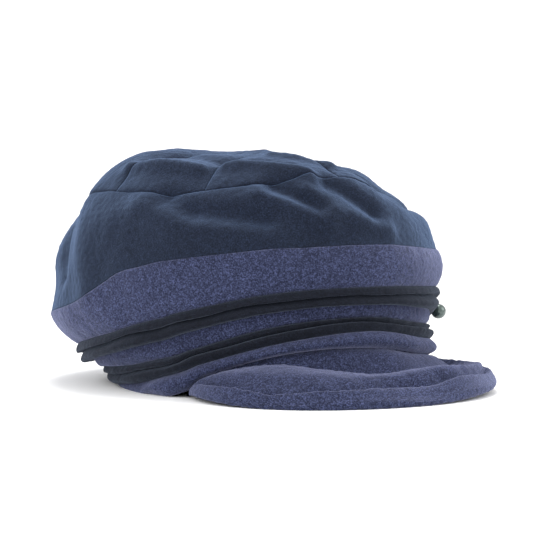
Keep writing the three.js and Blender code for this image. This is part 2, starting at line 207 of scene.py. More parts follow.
# Folds and dents: from a turn and level to another, with shares of the crease's width and lift.
CREASE_COLUMNS = "turn level to_turn to_level width lift"
CREASES = [
    (68, 5.82, 56, 5.53, 1.7, 1.1),
    (47, 5.37, 28, 5.18, 1.6, 1.1),
    (60, 5.88, 54, 5.7, 1.1, -1.2),
    (49, 5.6, 30, 5.42, 1.2, -1.5),
    (30, 5.82, 12, 5.27, 0.9, 1.1),
    (26, 5.85, 14, 5.52, 1, -1.3),
    (17, 5.76, 11, 5.46, 0.9, 1),
    (7, 5.35, -8, 5.2, 1, 0.8),
    (8, 5.85, -4, 5.45, 1, -1.2),
    (100, 5.95, 88, 5.1, 1.8, 0.8),
    (113, 5.75, 106, 5.3, 1, -0.8),
    (86, 6.13, 54, 6.15, 0.8, 1),
    (80, 6.36, 52, 6.34, 1.1, -0.9),
    (44, 6.2, 14, 6.02, 0.8, 1),
    (42, 6.4, 20, 6.24, 1, -0.9),
    (22, 6.6, 0, 6.22, 0.8, 0.8),
    (127, 5.85, 122, 5.5, 2, 1),
    (-57, 5.75, -57, 5.45, 2, -0.8),
    (84, 6.3, 84, 6.75, 2, -0.8),
    (-20, 6.15, -65, 6.15, 1.8, -0.9),
]

# Sections of the peak, in shares. ridge: of the way from hem to edge. ridge_up and edge_up: of
# the hem's height there. inset: of the stitch inset.
PEAK_COLUMNS = "turn ridge ridge_up edge_up inset"
PEAK_SECTIONS = [
    (-65, 0.5, 0.95, 0.6, 1),
    (-50, 0.8, 0.75, 0.3, 1),
    (-35, 0.7, 0.75, 0.2, 1.2),
    (-20, 0.57, 0.7, 0.1, 1.5),
    (0, 0.43, 0.57, 0, 1.5),
    (20, 0.3, 0.65, 0, 0.8),
    (35, 0.17, 0.82, 0, 0.65),
    (50, 0.1, 0.92, 0.1, 0.6),
    (65, 0.3, 0.9, 0.3, 0.6),
]


def table(columns, rows):
    """The columns of a table by name."""
    return dict(zip(columns.split(), np.array(rows, float).T))


SECTION = table(SECTION_COLUMNS, SECTIONS)
CREASE = table(CREASE_COLUMNS, CREASES)
PEAK_SECTION = table(PEAK_COLUMNS, PEAK_SECTIONS)


def between(b, c, leave, arrive, t):
    """A smooth curve from b to c that leaves and arrives at the given slopes."""
    rise = c - b
    square = 3 * rise - 2 * leave - arrive
    cube = leave + arrive - 2 * rise
    return b + t * leave + t**2 * square + t**3 * cube


def value_at(rows, column, turn, period=0):
    """A smooth curve through a column of a table, read at each turn."""
    at, value = rows["turn"], rows[column]
    turn = np.asarray(turn, float)
    if period:
        turn = np.mod(turn, period)
        at = np.concatenate([at[-2:] - period, at, at[:2] + period])
        value = np.concatenate([value[-2:], value, value[:2]])
        high = np.searchsorted(rows["turn"], turn, side="right") + 2
    else:
        high = np.clip(np.searchsorted(at, turn, side="right"), 1, len(at) - 1) + 1
        at = np.concatenate([at[:1], at, at[-1:]])
        value = np.concatenate([value[:1], value, value[-1:]])
    a, b, c, d = (value[high + k] for k in (-2, -1, 0, 1))
    before, low, top, after = (at[high + k] for k in (-2, -1, 0, 1))
    span = top - low
    t = np.clip((turn - low) / span, 0, 1)
    leave = span * (c - a) / (top - before)
    arrive = span * (d - b) / (after - low)
    return between(b, c, leave, arrive, t)


FULL_TURN = 360


def around(column, turn):
    return value_at(SECTION, column, turn, FULL_TURN)


def on_ring(turn, radius, shift, height):
    angle = np.radians(turn)
    aside, back = -radius * np.sin(angle), shift - radius * np.cos(angle)
    return np.stack([aside, back, height + 0 * angle], -1)


def line_point(size, index, turn):
    """A point on one of the lines between the pieces."""
    reach, shift, _ = LINES[index]
    overhang = (size.overhang_radius - size.hem_radius) * reach * around("spread", turn)
    tuck = size.lower_band * around("tuck", turn) if index == 0 else 0
    height = size.arch_rise * around("hem", turn)
    for _, _, band in LINES[1 : index + 1]:
        height = height + getattr(size, band) * around(band, turn)
    radius = size.hem_radius + overhang - tuck
    return on_ring(turn, radius, size.overhang_shift * shift, np.maximum(height, 0))


SHOULDER = 6  # the higher, the later and sharper the top falls off to its seam
SLOPE_BEND = 0.85  # 1 makes a plain cone round the apex, and less a sharper point
LEAST_SHARE = 1e-6  # keeps the ring at the apex from closing to a point


def tip_point(size, share, turn):
    """A point on the top: share 1 is its seam, 0 the apex."""
    overhang = line_point(size, len(LINES) - 1, turn)[..., 2]
    seam = overhang + (size.crown_height - overhang) * around("seam", turn)
    ramp = around("ramp", turn)
    share = np.maximum(share, LEAST_SHARE)
    fall = ramp * share**SLOPE_BEND + (1 - ramp) * share**SHOULDER
    shift = size.apex_shift + (size.tip_shift - size.apex_shift) * share
    height = size.crown_height - (size.crown_height - seam) * fall
    return on_ring(turn, size.tip_radius * share, shift, height)


def wall_point(size, level, turn):
    """The wall as one surface: whole levels are the lines, then the top's seam, then the apex."""
    level, turn = np.broadcast_arrays(np.asarray(level, float), np.asarray(turn, float))
    low = np.clip(np.floor(level), 0, SEAM_LEVEL - 1)
    point = np.zeros(level.shape + (3,))
    for index in range(SEAM_LEVEL):
        here = (low == index) & (level < SEAM_LEVEL)
        if not here.any():
            continue
        start = line_point(size, index, turn[here])
        last = index + 1 == SEAM_LEVEL
        end = tip_point(size, 1.0, turn[here]) if last else line_point(size, index + 1, turn[here])
        point[here] = start + (end - start) * (level[here] - index)[:, None]
    top = level >= SEAM_LEVEL
    if top.any():
        point[top] = tip_point(size, APEX_LEVEL - level[top], turn[top])
    return point


# Steps of level and turn over which the wall's direction is taken
LEVEL_STEP = 0.12
TURN_STEP = 1.5
APEX_STEADY = 0.3  # share of the top round the apex where the direction turns upright
APEX_CLEAR = 0.01  # levels that a step keeps off the apex


def wall_normal(size, level, turn):
    """The wall's outward direction, smoothed over the seams."""
    level, turn = np.broadcast_arrays(np.asarray(level, float), np.asarray(turn, float))
    above = wall_point(size, np.minimum(level + LEVEL_STEP, APEX_LEVEL - APEX_CLEAR), turn)
    below = wall_point(size, np.maximum(level - LEVEL_STEP, 0), turn)
    along = wall_point(size, level, turn + TURN_STEP) - wall_point(size, level, turn - TURN_STEP)
    normal = -np.cross(along, above - below)
    normal[..., :2] *= np.minimum((APEX_LEVEL - level) / APEX_STEADY, 1)[..., None]
    return normal / np.linalg.norm(normal, axis=-1, keepdims=True)


def crease_lift(size, level, turn):
    """How far the folds and dents lift the wall."""
    point = wall_point(size, level, turn)
    lift = np.zeros(point.shape[:-1])
    for i in range(len(CREASES)):
        row = {name: CREASE[name][i] for name in CREASE}
        start = wall_point(size, row["level"], row["turn"])
        run = wall_point(size, row["to_level"], row["to_turn"]) - start
        share = np.clip((point - start) @ run / (run @ run), 0, 1)
        away = np.linalg.norm(point - start - share[..., None] * run, axis=-1)
        away = away / (size.crease_width * row["width"])
        lift += size.crease_lift * row["lift"] * np.exp(-(away**2))
    return lift


def waves(point, spacing, seed, count=20):
    """Smooth chance waves in space, between about -1 and 1, for a mean spacing."""
    chance = np.random.default_rng(seed)
    direction = chance.normal(size=(count, 3))
    direction /= np.linalg.norm(direction, axis=1, keepdims=True)
    number = 2 * np.pi / (spacing * chance.uniform(0.7, 1.5, count))
    phase = chance.uniform(0, 2 * np.pi, count)
    total = np.zeros(point.shape[:-1])
    for k in range(count):
        total += np.sin(point @ (direction[k] * number[k]) + phase[k])
    return total / math.sqrt(count)


def off_wall(size, level, turn, distance, lowest=0.0):
    """A point off the wall, never below the table."""
    point = wall_point(size, level, turn)
    lift = distance + crease_lift(size, level, turn)
    point = point + wall_normal(size, level, turn) * lift[..., None]
    point[..., 2] = np.maximum(point[..., 2], lowest)
    return point


# The bead's place on the wall, against the upper strip's lower lip
BEAD_LEVEL = np.array(3.55)
BEAD_TURN = np.array(-70.0)


def cap_shift(size):
    """How far the head opening's middle lies from the frame's origin, found from the bead."""
    low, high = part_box("bead")
    radius = (high - low).z / 2
    lip = size.upper_fold_puff * lip_swell(np.array(FOLD_SPLIT / 2))
    reach = lip + size.seam_gap + radius - size.bead_sink
    return np.array((low + high) / 2) - off_wall(size, BEAD_LEVEL, BEAD_TURN, reach)


# Swelling across a piece, by the share of the way from its lower to its upper seam


def plain_swell(share):
    return np.sin(np.pi * np.clip(share, 0, 1)) ** 0.7


def side_swell(share):
    return np.sin(np.pi * np.clip(share, 0, 1) ** 1.5) ** 0.8


FOLD_SPLIT = 0.6  # a folded strip's wide lower lip ends here and its narrow upper lip begins
UPPER_LIP = 0.75  # its height beside the lower lip's
WHOLE_SHARE = 0.6  # of a strip's swell that runs over both lips
LIP_SHARE = 0.5  # and that each lip has of its own
CRACK_SHARE = 0.35  # of the swell that the crack between the lips takes away
CRACK_WIDTH = 0.09  # half the crack's width, as a share of the strip's


def lip_swell(share, split=FOLD_SPLIT):
    """Two lips of a folded strip, one above the other."""
    share = np.clip(share, 0, 1)
    lower = share < split
    along = np.where(lower, share / split, (share - split) / (1 - split))
    whole = np.sin(np.pi * share) ** 0.6
    lip = np.sin(np.pi * np.clip(along, 0, 1)) ** 0.7
    return np.where(lower, 1, UPPER_LIP) * (WHOLE_SHARE * whole + LIP_SHARE * lip)


# Meshes


def mesh_object(name, points, faces, material, shift):
    """An object at the origin whose mesh holds its place."""
    mesh = bpy.data.meshes.new(name)
    points = np.asarray(points, np.float32) + np.asarray(shift, np.float32)
    sizes = np.array([len(f) for f in faces], np.int32)
    loops = np.concatenate([np.asarray(f, np.int32) for f in faces])
    mesh.vertices.add(len(points))
    mesh.vertices.foreach_set("co", points.ravel())
    mesh.loops.add(len(loops))
    mesh.loops.foreach_set("vertex_index", loops)
    mesh.polygons.add(len(sizes))
    starts = np.concatenate([[0], np.cumsum(sizes)[:-1]]).astype(np.int32)
    mesh.polygons.foreach_set("loop_start", starts)
    mesh.update(calc_edges=True)
    mesh.validate()
    mesh.shade_smooth()
    mesh.materials.append(material)
    made = bpy.data.objects.new(name, mesh)
    bpy.context.scene.collection.objects.link(made)
    return made


def grid_faces(grid):
    """The faces between the rows and columns of a grid of numbered points."""
    corners = [grid[:-1, :-1], grid[:-1, 1:], grid[1:, 1:], grid[1:, :-1]]
    return np.stack(corners, -1).reshape(-1, 4)


def face_out(mesh):
    """Turns a closed mesh's faces outwards."""
    volume = 0.0
    for polygon in mesh.polygons:
        corners = [mesh.vertices[i].co for i in polygon.vertices]
        for k in range(1, len(corners) - 1):
            volume += corners[0].dot(corners[k].cross(corners[k + 1]))
    if volume < 0:
        mesh.flip_normals()


def shell(name, outer, inner, ring, material, shift):
    """A closed shell between an outer and an inner grid of points."""
    rows, columns = outer.shape[:2]
    inner_rows = inner.shape[0]
    out = np.arange(rows * columns).reshape(rows, columns)
    into = out.size + np.arange(inner_rows * columns).reshape(inner_rows, columns)
    if ring:
        out = np.concatenate([out, out[:, :1]], 1)
        into = np.concatenate([into, into[:, :1]], 1)
    walls = [grid_faces(out), grid_faces(into)[:, ::-1]]
    ends = [(into[0], out[0]), (out[-1], into[-1])]
    if not ring:
        ends += [(out[:, 0], into[:, 0]), (into[:, -1], out[:, -1])]
    walls += [grid_faces(np.stack(end)) for end in ends]
    faces = np.concatenate(walls)
    points = np.concatenate([outer.reshape(-1, 3), inner.reshape(-1, 3)])
    corner = points[faces]
    volume = np.einsum("ij,ij->i", corner[:, 0], np.cross(corner[:, 1], corner[:, 2]))
    volume += np.einsum("ij,ij->i", corner[:, 0], np.cross(corner[:, 2], corner[:, 3]))
    if volume.sum() < 0:
        faces = faces[:, ::-1]
    return mesh_object(name, points, list(faces), material, shift)


# Mean spacings of the chance waves, in metres
WANDER_SPACING = 0.045
SWELL_SPACING = 0.05
SLACK_SPACING = 0.055
PUCKER_SPACING = 0.014
TOP_SLACK_SPACING = 0.06
TOP_PUCKER_SPACING = 0.016
NAP_SPACING = 0.004

SWELL_CHANGE = 0.1  # share of a swell that comes and goes along the piece
PUCKER_STRETCH = [1, 1, 0.35]  # gathers run on across the seam
INNER_ROWS = 5


def wall_ring(size, name, low, puff, swell, rows, material, stations, wander, seed):
    """A ring of the wall from one line to the next, swelling between its two seams. wander is how
    far the crack between a strip's two lips strays, and 0 for a piece without one."""
    turns = FULL_TURN * np.arange(stations) / stations
    share = np.linspace(0, 1, rows + 1)[:, None] + 0 * turns[None, :]
    turn = turns[None, :] + 0 * share
    base = wall_point(size, low + share, turn)
    if wander:
        middle = wall_point(size, low + 0.5, turns)
        split = FOLD_SPLIT + wander * waves(middle, WANDER_SPACING, seed)
        crack = CRACK_SHARE * np.exp(-(((share - split) / CRACK_WIDTH) ** 2))
        profile = lip_swell(share, split[None, :]) - crack
    else:
        profile = swell(share)
    loose = np.clip(profile, 0, 1)
    gather = loose * (1.15 - loose)
    distance = puff * profile * (1 + SWELL_CHANGE * waves(base, SWELL_SPACING, seed + 1))
    distance += size.slack * waves(base, SLACK_SPACING, seed + 2) * loose
    distance += size.pucker * waves(base * PUCKER_STRETCH, PUCKER_SPACING, seed + 3) * gather
    distance += size.nap * waves(base, NAP_SPACING, seed + 4)
    outer = off_wall(size, low + share, turn, distance)
    inner_share = np.linspace(0, 1, INNER_ROWS + 1)[:, None] + 0 * turns[None, :]
    inner_turn = turns[None, :] + 0 * inner_share
    inner_puff = 0 if wander else puff
    inner_distance = inner_puff * swell(inner_share) - size.cloth
    inner = off_wall(size, low + inner_share, inner_turn, inner_distance, size.cloth)
    return shell(name, outer, inner, True, material, cap_shift(size))


APEX_HOLE = 0.008  # share of a wedge's length that is left open round the apex


def wedge(size, name, from_turn, to_turn, material, rows, columns, seed):
    """One wedge of the top, between two radial seams and the seam round the top."""
    share = np.linspace(APEX_HOLE, 1, rows + 1)[:, None]
    across = np.linspace(0, 1, columns + 1)[None, :]
    share, across = np.broadcast_arrays(share, across)
    turn = from_turn + (to_turn - from_turn) * across
    level = APEX_LEVEL - share
    base = wall_point(size, level, turn)
    edge = np.sin(np.pi * np.clip(across, 0, 1)) ** 0.6
    rim = np.clip(np.sin(np.pi * share**2.5), 0, 1) ** 0.5
    swell = edge * rim
    distance = size.wedge_puff * swell
    distance = distance + size.slack * waves(base, TOP_SLACK_SPACING, seed) * swell
    gather = swell * (1.2 - swell)
    distance = distance + size.pucker * waves(base, TOP_PUCKER_SPACING, seed + 1) * gather
    distance = distance + size.nap * waves(base, NAP_SPACING, seed + 2)
    outer = off_wall(size, level, turn, distance)
    inner = off_wall(size, level, turn, size.wedge_puff * swell - size.cloth)
    return shell(name, outer, inner, False, material, cap_shift(size))


# Peak

GROOVE_ROW = 8  # row of the sewn groove, counted from the hem
EDGE_ROW = 11  # row of the outer edge, where the top ends
UNDER_LIFT = 0.0001  # how far the underside behind the edge lies above it


def peak_loop(size, peak, turn):
    """Points round the section of the peak: over the top from hem to edge, and back underneath."""
    hem = line_point(size, 0, turn)
    outward = hem * [1, 1, 0]
    outward = outward / np.linalg.norm(outward, axis=-1, keepdims=True)
    degrees = math.degrees(peak.half_span)
    bow = np.maximum(1 - np.abs(turn / degrees) ** 2.7, 0) ** 0.9
    edge = peak.corner_reach + (peak.reach - peak.corner_reach) * bow
    ridge = edge * value_at(PEAK_SECTION, "ridge", turn)
    hem_up = hem[:, 2] - size.seam_gap
    ridge_up = hem[:, 2] * value_at(PEAK_SECTION, "ridge_up", turn)
    edge_up = np.maximum(hem[:, 2] * value_at(PEAK_SECTION, "edge_up", turn), 0)
    drop = hem_up - ridge_up
    thick = peak.thickness * (0.4 + 0.6 * np.sqrt(bow))
    edge_top = edge_up + thick
    dip = peak.dip * np.minimum(1, ridge / peak.dip_run)
    brim = edge - ridge
    full = np.minimum(1, brim / peak.swell_run)
    swell = peak.swell * full
    stitch = np.minimum(peak.stitch_inset * value_at(PEAK_SECTION, "inset", turn), 0.5 * brim)
    field = brim - stitch

    def place(reach, height):
        point = hem * [1, 1, 0] + outward * np.asarray(reach)[..., None]
        point[:, 2] = np.maximum(height, 0)
        return point

    def on_brim(reach, lift):
        return place(reach, ridge_up + (edge_top - ridge_up) * (reach - ridge) / brim + lift)

    top = [
        place(0 * ridge, hem_up),
        place(0.2 * ridge, hem_up - 0.25 * drop),
        place(0.4 * ridge, hem_up - 0.7 * drop - 0.3 * dip),
        place(0.62 * ridge, ridge_up - dip),
        place(0.85 * ridge, ridge_up - 0.4 * dip),
        place(ridge, ridge_up),
        on_brim(ridge + 0.25 * field, 0.7 * swell),
        on_brim(ridge + 0.6 * field, swell),
        on_brim(edge - stitch, -peak.stitch_depth * full),
        on_brim(edge - 0.55 * stitch, 0.8 * swell),
        place(edge - 0.2 * stitch, edge_top + 0.15 * swell),
        place(edge, edge_up + 0.55 * thick),
    ]
    under = [
        place(edge - 0.05 * stitch, edge_up + 0.1 * thick),
        place(edge - 0.2 * stitch, edge_up),
        place(edge - 0.55 * stitch, edge_up + UNDER_LIFT),
        on_brim(edge - stitch, -thick),
        on_brim(ridge + 0.6 * field, -thick),
        on_brim(ridge + 0.25 * field, -thick),
        place(ridge, ridge_up - thick),
        place(0.8 * ridge, ridge_up - 0.5 * dip - thick),
        place(0.6 * ridge, ridge_up - dip - 0.9 * thick),
        place(0.3 * ridge, hem_up - 0.7 * drop - dip - 0.7 * thick),
        place(0.15 * ridge - size.cloth, hem_up - 0.3 * drop - 0.3 * thick),
        place(0 * ridge - size.cloth, hem_up),
    ]
    return np.stack(top + under)


def smooth_loop(rows, count):
    """A closed smooth curve through rows of points, at count places for each row."""
    total = len(rows)
    place = np.arange(total * count) / count
    low = np.floor(place).astype(int)
    t = (place - low)[:, None, None]
    a, b, c, d = (rows[(low + k) % total] for k in (-1, 0, 1, 2))
    return place, between(b, c, (c - a) / 2, (d - b) / 2, t)


# Materials


def node(tree, kind, settings=None, **links):
    """Adds a node. Settings are its properties; each link is a value or another node's output."""
    made = tree.nodes.new(kind)
    for key, value in (settings or {}).items():
        setattr(made, key, value)
    for key, value in links.items():
        name = key.replace("_", " ")
        socket = made.inputs[int(key[1:])] if key[1:].isdigit() else made.inputs[name]
        if isinstance(value, bpy.types.NodeSocket):
            tree.links.new(value, socket)
        else:
            socket.default_value = value
    return made


def new_material(name):
    material = bpy.data.materials.new(name)
    material.use_nodes = True
    material.node_tree.nodes.clear()
    return material, material.node_tree


def finish_material(tree, shader):
    node(tree, "ShaderNodeOutputMaterial", Surface=shader.outputs[0])


def rgba(value):
    return (*value, 1.0)


def work(tree, operation, *values):
    """Works out a sum of up to three values or outputs."""
    links = {f"_{i}": value for i, value in enumerate(values)}
    return node(tree, "ShaderNodeMath", {"operation": operation}, **links).outputs[0]


def noise(tree, place, spacing, detail=2.0, roughness=0.5, distortion=0.0):
    """Soft chance patches of a spacing in metres."""
    made = node(
        tree,
        "ShaderNodeTexNoise",
        Vector=place,
        Scale=1 / spacing,
        Detail=detail,
        Roughness=roughness,
        Distortion=distortion,
    )
    return made.outputs["Fac"]


def remap(tree, value, low, high, to_low=0.0, to_high=1.0):
    """Stretches the values between low and high to another range."""
    ends = {"From_Min": low, "From_Max": high, "To_Min": to_low, "To_Max": to_high}
    return node(tree, "ShaderNodeMapRange", Value=value, **ends).outputs[0]


def blend(tree, share, first, second):
    """Mixes two colours."""
    links = {"Factor": share, "_6": first, "_7": second}
    return node(tree, "ShaderNodeMix", {"data_type": "RGBA"}, **links).outputs[2]


def fleece(name, dark, middle, light, speck, flecks, sheen, sheen_tint):
    """Brushed polyester fleece: a matt pile of curled fibres in small clumps, which catches light
    at its edges. The clumps are about 3 mm, and the fibres are drawn 0.7 mm wide, to show in the
    render. speck is the softness between dark and light, and flecks how much curls stand out."""
    material, tree = new_material(name)
    place = node(tree, "ShaderNodeTexCoord").outputs["Object"]
    clumps = noise(tree, place, 0.0035, 3.0, 0.6)
    fibres = noise(tree, place, 0.0008, 2.0, 0.8)
    worn = noise(tree, place, 0.045)
    curls = node(tree, "ShaderNodeTexVoronoi", Vector=place, Scale=1 / 0.0007).outputs["Color"]
    curl = node(tree, "ShaderNodeSeparateColor", Color=curls).outputs[0]
    grain = work(tree, "MULTIPLY_ADD", curl, flecks, fibres)
    middle_grain = 0.5 + flecks / 2
    mixed = remap(tree, grain, middle_grain - speck, middle_grain + speck)
    ramp = node(tree, "ShaderNodeValToRGB", Fac=mixed)
    ramp.color_ramp.elements[0].color = rgba(dark)
    ramp.color_ramp.elements[0].position = 0.08
    ramp.color_ramp.elements[1].color = rgba(light)
    ramp.color_ramp.elements[1].position = 0.95
    centre = ramp.color_ramp.elements.new(0.5)
    centre.color = rgba(middle)
    shade = remap(tree, clumps, 0.3, 0.7, 0.86, 1.12)
    broad = remap(tree, worn, 0.3, 0.7, 0.92, 1.08)
    both = work(tree, "MULTIPLY", shade, broad)
    base = node(
        tree, "ShaderNodeVectorMath", {"operation": "SCALE"}, _0=ramp.outputs["Color"], Scale=both
    ).outputs[0]
    height = work(tree, "MULTIPLY_ADD", clumps, 0.3, fibres)
    bump = node(tree, "ShaderNodeBump", Strength=0.5, Distance=0.0007, Height=height).outputs[0]
    shader = node(
        tree,
        "ShaderNodeBsdfPrincipled",
        Base_Color=base,
        Roughness=0.92,
        IOR=1.45,
        Specular_IOR_Level=0.15,
        Sheen_Weight=sheen,
        Sheen_Roughness=0.42,
        Sheen_Tint=rgba(sheen_tint),
        Normal=bump,
    )
    finish_material(tree, shader)
    return material


def lustre_pearl(name, tone):
    """Glass pearl with a grey-green lustre coat: a smooth hard surface with a soft metallic depth
    and a clear gloss over it."""
    material, tree = new_material(name)
    place = node(tree, "ShaderNodeTexCoord").outputs["Object"]
    cloud = noise(tree, place, 0.004, distortion=0.6)
    edge = node(tree, "ShaderNodeLayerWeight", Blend=0.35).outputs["Facing"]
    deep = [0.35 * c for c in tone]
    pale = [min(1, 1.5 * c) for c in tone]
    depth = blend(tree, edge, rgba(tone), rgba(deep))
    tint = remap(tree, cloud, 0.35, 0.75, 0.0, 0.4)
    shader = node(
        tree,
        "ShaderNodeBsdfPrincipled",
        Base_Color=blend(tree, tint, depth, rgba(pale)),
        Metallic=0.55,
        Roughness=0.24,
        IOR=1.55,
        Coat_Weight=0.7,
        Coat_Roughness=0.06,
    )
    finish_material(tree, shader)
    return material


def sewing_thread(name, tone):
    """Spun polyester thread: twisted in plies, with a dull gleam along each ply painted into its
    colour as lighter bands.
    """
    material, tree = new_material(name)
    place = node(tree, "ShaderNodeTexCoord").outputs["Object"]
    painted_ply_highlight = node(tree, "ShaderNodeTexWave", Vector=place, Scale=1 / 0.004, Distortion=1.5)
    # Lighter bands mixed into the colour: a painted highlight along the plies.
    base = blend(tree, painted_ply_highlight.outputs["Fac"], rgba(tone), rgba([1.5 * c for c in tone]))
    shader = node(
        tree, "ShaderNodeBsdfPrincipled", Base_Color=base, Roughness=0.6, Sheen_Weight=0.3
    )
    finish_material(tree, shader)
    return material


def matt_floor(name, tone):
    """Matt white card, seamless from the table up, with a fine tooth."""
    material, tree = new_material(name)
    place = node(tree, "ShaderNodeTexCoord").outputs["Object"]
    grain = noise(tree, place, 0.0025)
    bump = node(tree, "ShaderNodeBump", Strength=0.05, Distance=0.0002, Height=grain).outputs[0]
    shader = node(
        tree, "ShaderNodeBsdfPrincipled", Base_Color=rgba(tone), Roughness=0.9, Normal=bump
    )
    finish_material(tree, shader)
    return material


def cap_materials():
    """The cap's finishes, made once. Each fleece has its colours, speck, flecks and sheen."""
    tones = bpy.context.scene.cap_colours
    navy = (tones.navy_dark, tones.navy, tones.navy_tip)
    strip = (tones.strip_painted_shade_dark, tones.strip, tones.strip_painted_shade_tip)
    heather = (tones.heather_dark, tones.heather, tones.heather_light)
    wanted = {
        "navy": ("brushed_navy_fleece", fleece, *navy, 0.25, 0.15, 0.42, (0.38, 0.58, 1)),
        "heather": ("brushed_heather_fleece", fleece, *heather, 0.26, 0.3, 0.5, (0.6, 0.65, 1)),
        # The strips get a darker copy of the navy fleece, which paints shade into the folds.
        "strip": ("folded_strip_fleece", fleece, *strip, 0.25, 0.15, 0.2, (0.55, 0.66, 0.9)),
        "glass": ("lustre_glass_pearl", lustre_pearl, tones.pearl),
        "sewing": ("spun_sewing_thread", sewing_thread, tones.thread),
    }
    finishes = {}
    for key, (name, make, *settings) in wanted.items():
        finishes[key] = bpy.data.materials.get(name) or make(name, *settings)
    return finishes


def join_frame(piece, slot, *nodes):
    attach(piece, "root")
    if nodes:
        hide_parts(*nodes)
    return piece


# Operators

WEDGE_ROWS = 104
WEDGE_COLUMNS = 1.9  # for each degree of turn
WEDGE_SEED = 40

# Rings of the wall from the top down: level of its lower seam, how far it swells and in which
# form, rows, points round the head, cloth, packed slot, how far its crack wanders, seed
SIDE_RINGS = {
    "crown_side": (5, "side_puff", side_swell, 68, 900, "navy", "navy_fleece", 0, 100),
    "upper_band": (4, "upper_band_puff", plain_swell, 34, 840, "heather", "heather_fleece", 0, 110),
    # The strips' cloth is the navy fleece darkened with painted shade.
    "upper_fold": (3, "upper_fold_puff", lip_swell, 44, 800, "strip", "navy_fleece", 0.045, 120),
    "middle_band": (
        2, "middle_band_puff", plain_swell, 14, 760, "heather", "heather_fleece", 0, 130
    ),
    "lower_fold": (1, "lower_fold_puff", lip_swell, 36, 760, "strip", "navy_fleece", 0.05, 140),
}
HEM_RING = (0, "lower_band_puff", plain_swell, 30, 740, "heather", "heather_fleece", 0, 150)


def make_ring(size, name, row):
    low, puff, swell, rows, stations, cloth, slot, wander, seed = row
    puff, material = getattr(size, puff), cap_materials()[cloth]
    made = wall_ring(
        size, f"{name}_cloth", low, puff, swell, rows, material, stations, wander, seed
    )
    return join_frame(made, slot, name)


class CAP_OT_crown_top(Operator):
    """Make the eight wedges of the top"""

    bl_idname = "cap.crown_top"
    bl_label = "Crown top"

    def execute(self, context):
        size = context.scene.cap_sizes
        navy = cap_materials()["navy"]
        ends = WEDGE_SEAMS[1:] + [WEDGE_SEAMS[0] + FULL_TURN]
        for i, (start, end) in enumerate(zip(WEDGE_SEAMS, ends), 1):
            columns = round(WEDGE_COLUMNS * (end - start))
            name, seed = f"top_wedge_cloth_{i}", WEDGE_SEED + i
            piece = wedge(size, name, start, end, navy, WEDGE_ROWS, columns, seed)
            join_frame(piece, "navy_fleece", f"top_wedge_{i}")
        return {"FINISHED"}


class CAP_OT_crown_wall(Operator):
    """Make the side wall, the bands and the folded strips"""

    bl_idname = "cap.crown_wall"
    bl_label = "Crown wall"

    def execute(self, context):
        for name, row in SIDE_RINGS.items():
            make_ring(context.scene.cap_sizes, name, row)
        return {"FINISHED"}


class CAP_OT_hem_roll(Operator):
    """Make the padded roll at the hem"""

    bl_idname = "cap.hem_roll"
    bl_label = "Hem roll"

    def execute(self, context):
        roll = make_ring(context.scene.cap_sizes, "lower_band", HEM_RING)
        return {"FINISHED"}


PEAK_STATIONS = 321
PEAK_FINENESS = 7  # points for each row of a section

GROOVE_WIDTH = 0.22  # in rows
QUILT_WIDTH = 1.2  # in rows
# Turns where the thread stops pulling the cloth down, and how gradually it lets go
GROOVE_RIGHT = 38
GROOVE_LEFT = -26
GROOVE_FADE = 4

# Mean spacings and seeds of the peak's chance waves
SAG_WAVES = (0.05, 160)
QUILT_WAVES = (0.012, 161)
PEAK_NAP_WAVES = (NAP_SPACING, 162)


class CAP_OT_peak(Operator):
    """Make the padded peak"""

    bl_idname = "cap.peak"
    bl_label = "Peak"

    def execute(self, context):
        size, peak = context.scene.cap_sizes, context.scene.cap_peak
        heather = cap_materials()["heather"]
        span = math.degrees(peak.half_span)
        turn = np.linspace(-span, span, PEAK_STATIONS)
        place, loops = smooth_loop(peak_loop(size, peak, turn), PEAK_FINENESS)
        bow = np.maximum(1 - np.abs(turn / span) ** 4, 0)
        on_top = (place < EDGE_ROW)[:, None] * bow[None, :]
        away = place - GROOVE_ROW
        sewn = np.exp(-((away / GROOVE_WIDTH) ** 2))[:, None]
        quilted = np.exp(-((away / QUILT_WIDTH) ** 2))[:, None]
        held = 1 / (1 + np.exp((turn - GROOVE_RIGHT) / GROOVE_FADE))
        held = held / (1 + np.exp((GROOVE_LEFT - turn) / GROOVE_FADE))
        loops[..., 2] -= peak.groove * sewn * (bow * held)[None, :]
        loops[..., 2] += on_top * peak.sag * waves(loops, *SAG_WAVES)
        loops[..., 2] += on_top * quilted * peak.quilt * waves(loops, *QUILT_WAVES)
        loops += peak.nap * waves(loops, *PEAK_NAP_WAVES)[..., None]
        loops[..., 2] = np.maximum(loops[..., 2], 0)
        rows, columns = loops.shape[:2]
        grid = np.arange(rows * columns).reshape(rows, columns)
        grid = np.concatenate([grid, grid[:1]])
        centres = loops.mean(0)[[0, -1]]
        start, end = rows * columns, rows * columns + 1
        faces = list(grid_faces(grid))
        faces += [(grid[i, 0], grid[i + 1, 0], start) for i in range(rows)]
        faces += [(grid[i + 1, -1], grid[i, -1], end) for i in range(rows)]
        points = np.concatenate([loops.reshape(-1, 3), centres])
        made = mesh_object("peak_cloth", points, faces, heather, cap_shift(size))
        face_out(made.data)
        join_frame(made, "heather_fleece", "peak")
        return {"FINISHED"}


STITCH_SIDES = 6
STITCH_PARTS = 3
STITCH_BEND = -3.0  # a stitch's ends dip by a quarter of this, times its thickness
# Least and greatest thickness both ways and length, beside a stitch's sizes
STITCH_LEAST = (0.9, 0.9, 0.85)
STITCH_MOST = (1.1, 1.1, 1.1)


